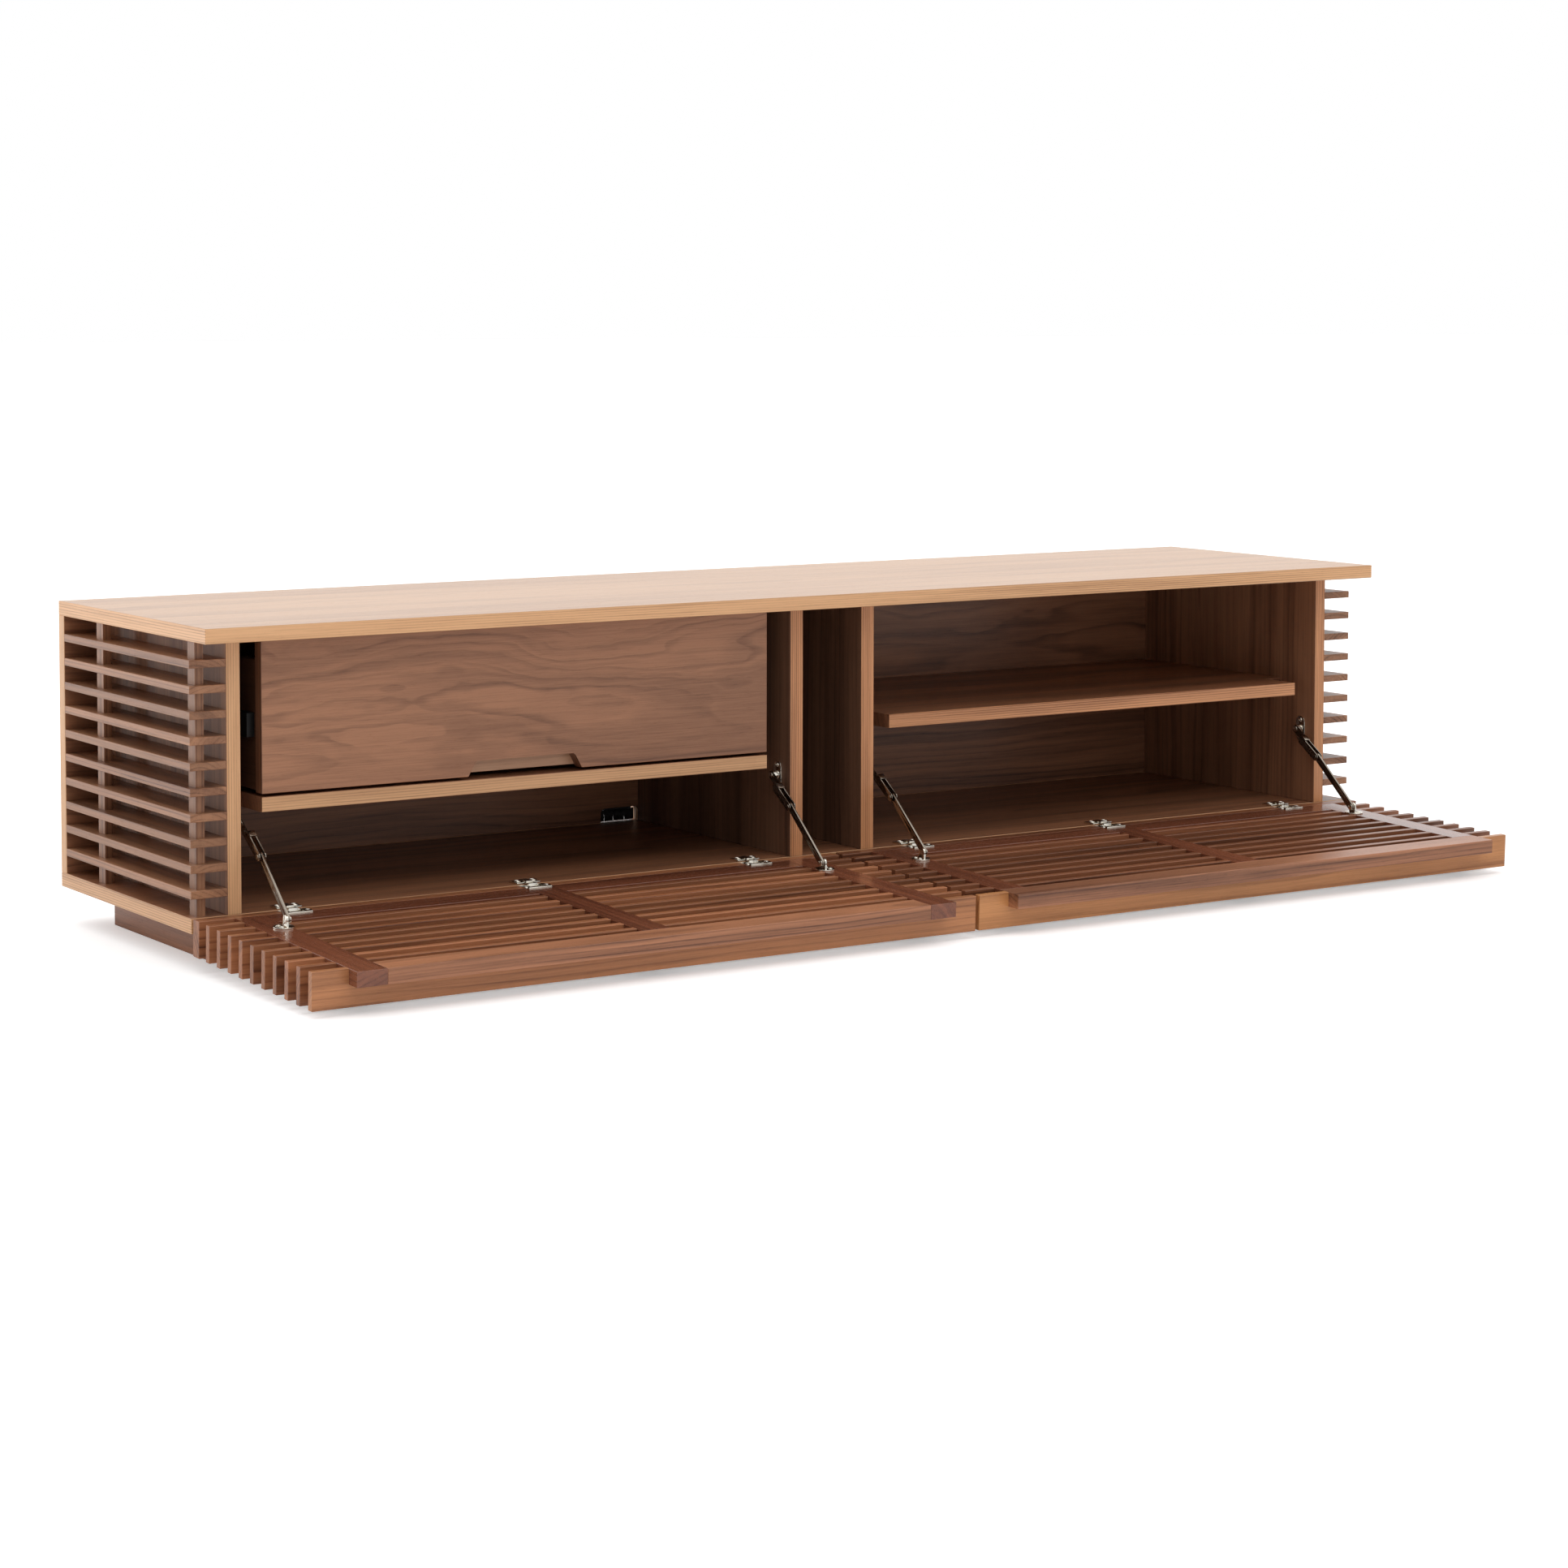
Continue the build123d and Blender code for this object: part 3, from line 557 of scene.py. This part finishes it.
def wooden(name, material, along=None, band=None, front_only=False, outer=None):
    """Make a wooden piece from a CAD node, with grain laid along every board in it.

    A band covers the edges of each board, and outer is the wood of the board furthest forward, a lighter wood that
    paints the light on the one fin that no other fin shades.
    """
    random = Random(name)
    mesh = merged_copy(name)
    mesh.loops.layers.float_vector.new("grain")
    mesh.faces.layers.float.new("board")
    body = body_of(name)
    turn = turn_of(body)
    boards = boards_of(mesh)
    for board in boards:
        lay_grain(mesh, board, turn, random, along, band is not None, front_only)
    # painted light: the board furthest forward gets the lighter wood
    if outer:
        for face in min(boards, key=lambda board: middle_of(board)[1]):
            face.material_index = 1
    materials = [material] + [extra for extra in (band, outer) if extra]
    return keep_piece(mesh, name + "_wood", materials, body, [name])


def plated(name, material, rounding=0.0003):
    """Make a metal piece from a CAD node, with its edges rounded over."""
    mesh = merged_copy(name)
    sharp = [edge for edge in mesh.edges if edge.is_manifold and edge.calc_face_angle(0) > radians(35)]
    bmesh.ops.bevel(
        mesh,
        geom=sharp,
        offset=rounding,
        affect="EDGES",
        segments=2,
        profile=0.5,
        material=-1,
        clamp_overlap=True,
    )
    piece = keep_piece(mesh, name + "_plated", [material], body_of(name), [name], smooth=True)
    piece.data.set_sharp_from_angle(angle=radians(38))
    return piece


X = 0
Z = 2
panel_bands = {"left": golden_band, "right": red_band}
wooden("top_panel", sheen_top_veneer, along=X, band=golden_band)
wooden("bottom_panel", veneer, along=X, band=golden_band)
wooden("back_panel", veneer, along=X, band=golden_band)
for side in ("left", "right"):
    wooden(f"side_panel_{side}", side_veneer, along=Z, band=panel_bands[side])
    wooden(f"divider_{side}", divider_veneer, along=Z, band=red_band)
    wooden(f"end_slats_{side}", slat_wood)
    wooden(f"drawer_side_{side}", shaded_box_wood)
wooden("drawer_shelf", veneer, along=X, band=golden_band, front_only=True)
wooden("media_shelf", veneer, along=X, band=red_band, front_only=True)
wooden("drawer_front", figured_veneer, along=X, band=veneer)
wooden("drawer_box_ends", lit_box_end_veneer)
for name in ("drawer_bottom", "runner_blocks"):
    wooden(name, shaded_box_wood)
for end in ("left", "right", "front", "back"):
    wooden(f"plinth_{end}", rail_wood)
wooden("end_posts", slat_wood)
for side, fin in (("left", brown_fin), ("right", dark_fin)):
    wooden(f"door_{side}_board", fin)
    wooden(f"door_{side}_slats", fin, outer=lit_outer_fin if side == "left" else lit_golden_fin)
    wooden(f"door_{side}_hinge_rail", frame_wood)
    wooden(f"door_{side}_front_rail", rail_wood)
    for place in ("left", "middle", "right"):
        wooden(f"door_{side}_stile_{place}", frame_wood)

for name in ("hinge_bases", "stay_brackets", "shelf_pins"):
    plated(name, nickel)
for side in ("left", "right"):
    for part in ("hinge_cups", "stay_feet"):
        plated(f"door_{side}_{part}", nickel)
for name in frame["nodes"]:
    if name.endswith("_upper_link") or name.endswith("_lower_arm"):
        plated(name, dark_nickel)
# runner channels and bars carry the near-black painted shade
plated("runner_channels", shade_dark_zinc)
plated("runner_bars", shade_dark_zinc)
for name in frame["nodes"]:
    if name.startswith("leveller"):
        plated(name, foot_plastic)

# ---- Screws, hinge fittings and the cable brush --------------------------------------------------


def screw_head():
    """One pan-head screw with a cross recess, its outer face at the origin, facing up."""
    mesh = bmesh.new()
    bmesh.ops.create_circle(mesh, cap_ends=True, segments=24, radius=screw_radius)
    bmesh.ops.translate(mesh, verts=mesh.verts, vec=(0, 0, -screw_height))
    raised = bmesh.ops.extrude_face_region(mesh, geom=mesh.faces)["geom"]
    top = [item for item in raised if isinstance(item, bmesh.types.BMVert)]
    bmesh.ops.translate(mesh, verts=top, vec=(0, 0, screw_height))
    rim = [edge for edge in mesh.edges if all(vert in top for vert in edge.verts)]
    bmesh.ops.bevel(
        mesh, geom=rim, offset=screw_rim_rounding, affect="EDGES", segments=4, profile=0.5, material=-1
    )
    lid = max(mesh.faces, key=lambda face: face.calc_center_median().z)
    rim = list(lid.edges)
    bmesh.ops.delete(mesh, geom=[lid], context="FACES_ONLY")
    cells = bmesh.ops.create_grid(mesh, x_segments=3, y_segments=3, size=recess_reach)["verts"]
    corner = [vert for vert in cells if min(abs(vert.co.x), abs(vert.co.y)) > 0.9 * recess_reach]
    bmesh.ops.delete(mesh, geom=corner, context="VERTS")
    cross = [face for face in mesh.faces if all(vert in cells for vert in face.verts)]
    outline = [edge for face in cross for edge in face.edges if len(edge.link_faces) == 1]
    bmesh.ops.triangle_fill(mesh, edges=rim + outline, use_beauty=True, normal=(0, 0, 1))
    sunk = bmesh.ops.extrude_face_region(mesh, geom=cross)["geom"]
    floor_verts = [item for item in sunk if isinstance(item, bmesh.types.BMVert)]
    bmesh.ops.translate(mesh, verts=floor_verts, vec=(0, 0, -recess_depth))
    bmesh.ops.scale(mesh, verts=floor_verts, vec=(recess_taper, recess_taper, 1))
    stale = [face for face in cross if face.is_valid]
    bmesh.ops.delete(mesh, geom=stale, context="FACES_ONLY")
    bmesh.ops.recalc_face_normals(mesh, faces=mesh.faces)
    data = bpy.data.meshes.new("screw_head")
    mesh.to_mesh(data)
    mesh.free()
    return data


def add_copy(mesh, data, place):
    """Add a copy of a small mesh to a bmesh at a place."""
    before = len(mesh.verts)
    mesh.from_mesh(data)
    mesh.verts.ensure_lookup_table()
    bmesh.ops.transform(mesh, matrix=place, verts=mesh.verts[before:])


def screw_places(name):
    """Where each screw's head sits in the body's squared place, and which way it faces."""
    turn = turn_of(body_of(name))
    mesh = merged_copy(name)
    places = []
    for board in boards_of(mesh):
        spots = [turn @ corner.vert.co for face in board for corner in face.loops]
        low = Vector(map(min, zip(*spots)))
        high = Vector(map(max, zip(*spots)))
        axis = max(range(3), key=lambda way: high[way] - low[way])
        middle = (low + high) / 2
        aside = axis_vectors[(axis + 1) % 3]
        head = [spot for spot in spots if abs((spot - middle).dot(aside)) > 0.8 * screw_radius]
        facing = axis_vectors[axis] if head[0][axis] > middle[axis] else -axis_vectors[axis]
        outer = middle.copy()
        outer[axis] = high[axis] if facing[axis] > 0 else low[axis]
        places.append((outer, facing))
    mesh.free()
    return places


def screw_set(name):
    """Cross-recessed screws in place of a node's plain ones."""
    random = Random(name)
    body = body_of(name)
    back = turn_of(body).inverted()
    head = screw_head()
    mesh = bmesh.new()
    for outer, facing in screw_places(name):
        spin = Matrix.Rotation(random.uniform(0, radians(90)), 4, "Z")
        place = back @ Matrix.Translation(outer) @ facing.to_track_quat("Z", "Y").to_matrix().to_4x4()
        add_copy(mesh, head, place @ spin)
    piece = keep_piece(mesh, name + "_heads", [nickel], body, [name], smooth=True)
    piece.data.set_sharp_from_angle(angle=radians(40))


def add_bar(mesh, low, high, place, rounding=0.0008):
    """Add a rounded bar between two corners, in a body's squared place."""
    made = bmesh.ops.create_cube(mesh, size=1.0)["verts"]
    middle = (Vector(low) + Vector(high)) / 2
    size = Vector(high) - Vector(low)
    bmesh.ops.transform(mesh, matrix=Matrix.Translation(middle) @ Matrix.Diagonal((*size, 1)), verts=made)
    edges = {edge for vert in made for edge in vert.link_edges}
    before = set(mesh.verts) - set(made)
    bmesh.ops.bevel(
        mesh, geom=list(edges), offset=rounding, affect="EDGES", segments=3, profile=0.5, material=-1
    )
    new = [vert for vert in mesh.verts if vert not in before]
    bmesh.ops.transform(mesh, matrix=place, verts=new)


def add_ring(mesh, centre, inner, outer, height, place):
    """Add a flat ring with rounded shoulders, standing on a face that looks up."""
    x, y, z = centre
    profile = [
        mesh.verts.new((x + radius, y, z + level))
        for radius, level in (
            (outer, 0),
            (outer, 0.55 * height),
            (outer - 0.3 * (outer - inner), height),
            (inner + 0.2 * (outer - inner), height),
            (inner, 0.5 * height),
            (inner, 0),
        )
    ]
    edges = [mesh.edges.new(pair) for pair in zip(profile, profile[1:])]
    before = set(mesh.verts) - set(profile)
    bmesh.ops.spin(
        mesh,
        geom=profile + edges,
        cent=(x, y, z),
        axis=(0, 0, 1),
        angle=radians(360),
        steps=24,
        use_merge=True,
    )
    new = [vert for vert in mesh.verts if vert not in before]
    bmesh.ops.transform(mesh, matrix=place, verts=new)


def hinge_fittings():
    """Raised bosses, covers and links that finish the hinges on both sides of the gap."""
    bases = merged_copy("hinge_bases")
    hinge_x = [middle_of(board)[0] for board in boards_of(bases)]
    bases.free()
    plate_high = Vector(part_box("hinge_bases")[1])
    top = plate_high.z
    still = Matrix.Identity(4)
    mesh = bmesh.new()
    for outer, facing in screw_places("carcass_screws"):
        if facing.z > 0.5:
            centre = (outer.x, outer.y, top)
            add_ring(mesh, centre, boss_hole_radius, plate_boss_radius, plate_boss_height, still)
    for x in hinge_x:
        add_bar(
            mesh,
            (x - cover_half_width, plate_high.y - cover_front, top - cover_sink),
            (x + cover_half_width, plate_high.y - cover_back, top + cover_height),
            still,
        )
    finish_fitting(mesh, "hinge_covers", "carcass")
    for body, pin in door_pins.items():
        back = turn_of(body).inverted()
        face = pin.z + cup_face_lift
        mesh = bmesh.new()
        near = [x for x in hinge_x if (x < 0) == (pin.x < 0)]
        for outer, facing in screw_places(f"{body}_screws"):
            if min(abs(outer.x - x) for x in near) < hinge_screw_reach:
                centre = (outer.x, outer.y, face)
                add_ring(mesh, centre, boss_hole_radius, cup_boss_radius, cup_boss_height, back)
        for x in near:
            add_bar(
                mesh,
                (x - cup_bar_half_width, pin.y - cup_bar_front, face - cup_bar_sink),
                (x + cup_bar_half_width, pin.y - cup_bar_back, face + cup_bar_height),
                back,
            )
            for step in (-1, 1):
                link = x + step * link_offset
                add_bar(
                    mesh,
                    (link - link_half_width, pin.y - link_front, face - link_bottom),
                    (link + link_half_width, pin.y + link_back, face - link_top),
                    back,
                )
        finish_fitting(mesh, f"{body}_hinge_fittings", body)


def finish_fitting(mesh, name, body):
    """Clean up a bmesh of small nickel fittings and keep it as a piece."""
    bmesh.ops.remove_doubles(mesh, verts=mesh.verts, dist=weld_distance)
    bmesh.ops.recalc_face_normals(mesh, faces=mesh.faces)
    piece = keep_piece(mesh, name, [nickel], body, [], smooth=True)
    piece.data.set_sharp_from_angle(angle=radians(40))


def cable_brush():
    """A row of dark bristles that hangs in the cable outlet, a dark screen that paints the shade seen through the
    hole.
    """
    random = Random("cable_brush")
    back_low, back_high = (Vector(corner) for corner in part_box("back_panel"))
    divider_low = Vector(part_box("divider_left")[0])
    right = divider_low.x - brush_gap
    left = right - brush_width
    depth = (back_low.y + back_high.y) / 2
    sill = back_low.z
    mesh = bmesh.new()
    add_bar(
        mesh,
        (left + brush_bar_inset, depth - brush_bar_half_depth, sill + brush_bar_bottom),
        (right - brush_bar_inset, depth + brush_bar_half_depth, sill + brush_bar_top),
        Matrix.Identity(4),
    )
    for step in range(bristle_count):
        share = (step + 0.5) / bristle_count
        length = bristle_length + random.uniform(-0.0006, 0.0004)
        lean = Matrix.Rotation(radians(random.uniform(-2, 2)), 4, "Y")
        row = depth + random.uniform(-bristle_spread, bristle_spread)
        start = Matrix.Translation((left + share * (right - left), row, sill + bristle_root))
        bmesh.ops.create_cone(
            mesh,
            cap_ends=True,
            segments=5,
            radius1=0.0004,
            radius2=0.0005,
            depth=length,
            matrix=start @ lean @ Matrix.Translation((0, 0, -length / 2)),
        )
    keep_piece(mesh, "cable_brush", [shade_dark_bristle], "carcass", [], smooth=True)


screw_set("carcass_screws")
screw_set("door_left_screws")
screw_set("door_right_screws")
hinge_fittings()
cable_brush()

# ---- Floor, light and camera ---------------------------------------------------------------------


def make_floor():
    """A wide pale floor."""
    mesh = bmesh.new()
    bmesh.ops.create_grid(mesh, x_segments=1, y_segments=1, size=60)
    data = bpy.data.meshes.new("floor")
    mesh.to_mesh(data)
    mesh.free()
    material, tree, shader = new_material("pale_floor")
    shader.inputs["Base Color"].default_value = (0.9, 0.9, 0.9, 1.0)
    shader.inputs["Roughness"].default_value = 0.9
    shader.inputs["Specular IOR Level"].default_value = 0.1
    shader.inputs["Emission Color"].default_value = (1.0, 1.0, 1.0, 1.0)
    seen = node(tree, "LightPath").outputs["Is Camera Ray"]
    tree.links.new(maths(tree, "MULTIPLY", seen, floor_glow), shader.inputs["Emission Strength"])
    data.materials.append(material)
    floor = bpy.data.objects.new("floor", data)
    bpy.context.scene.collection.objects.link(floor)


def make_world():
    """A white studio, brighter overhead and behind than low in front."""
    world = bpy.data.worlds.new("studio")
    bpy.context.scene.world = world
    world.use_nodes = True
    tree = world.node_tree
    background = tree.nodes["Background"]
    way = node(tree, "TexCoord").outputs["Generated"]
    parts = node(tree, "SeparateXYZ", inputs={0: way}).outputs
    behind = remap(tree, parts["Y"], 0.05, 0.6, 0.3, 0.78, smooth=True)
    ahead = remap(tree, parts["Y"], -0.95, -0.6, 0.62, 0.3, smooth=True)
    overhead = remap(tree, parts["Z"], 0.15, 0.8, 0.0, 1.1, smooth=True)
    level = maths(tree, "MAXIMUM", maths(tree, "MAXIMUM", behind, ahead), overhead)
    beside = remap(tree, parts["X"], -0.85, -0.35, 0.45, 1.0, smooth=True)
    behind_left = remap(tree, parts["Y"], 0.1, 0.4, 0.0, 1.0, smooth=True)
    level = maths(tree, "MULTIPLY", level, maths(tree, "MAXIMUM", beside, behind_left))
    level = maths(tree, "MULTIPLY", level, world_strength)
    seen = node(tree, "LightPath").outputs["Is Camera Ray"]
    strength = node(tree, "Mix", {"data_type": "FLOAT"}, {0: seen, 2: level, 3: 1.0}).outputs[0]
    tree.links.new(strength, background.inputs["Strength"])
    background.inputs["Color"].default_value = (1.0, 1.0, 1.0, 1.0)


def make_light(name, place, aim, size, power):
    """A soft rectangular light that looks at a point."""
    data = bpy.data.lights.new(name, "AREA")
    data.shape = "RECTANGLE"
    data.size, data.size_y = size
    data.energy = power
    light = bpy.data.objects.new(name, data)
    light.location = place
    light.rotation_euler = (Vector(aim) - Vector(place)).to_track_quat("-Z", "Y").to_euler()
    bpy.context.scene.collection.objects.link(light)


def make_camera():
    """A long lens from the front left, tipped down a little, with its frame shifted down."""
    data = bpy.data.cameras.new("camera")
    data.sensor_width = 36
    data.lens = 79.84
    data.shift_x = 0.0012
    data.shift_y = -0.1688
    data.clip_end = 200
    camera = bpy.data.objects.new("camera", data)
    camera.location = (-2.8127, -4.1656, 0.8697)
    camera.rotation_euler = (radians(90 - 3.62), radians(-0.09), radians(-33.4))
    bpy.context.scene.collection.objects.link(camera)
    bpy.context.scene.camera = camera


make_floor()
make_world()
make_light("left_softbox", (-5.2, -0.6, 2.0), (-1, 0, 0.2), (2.5, 2.5), 5)
make_light("rear_strip", (-3.15, 3.67, 1.3), (-1, 0.2, 0.3), (0.35, 2.4), 28)
make_camera()
bpy.context.scene.view_settings.view_transform = "Standard"
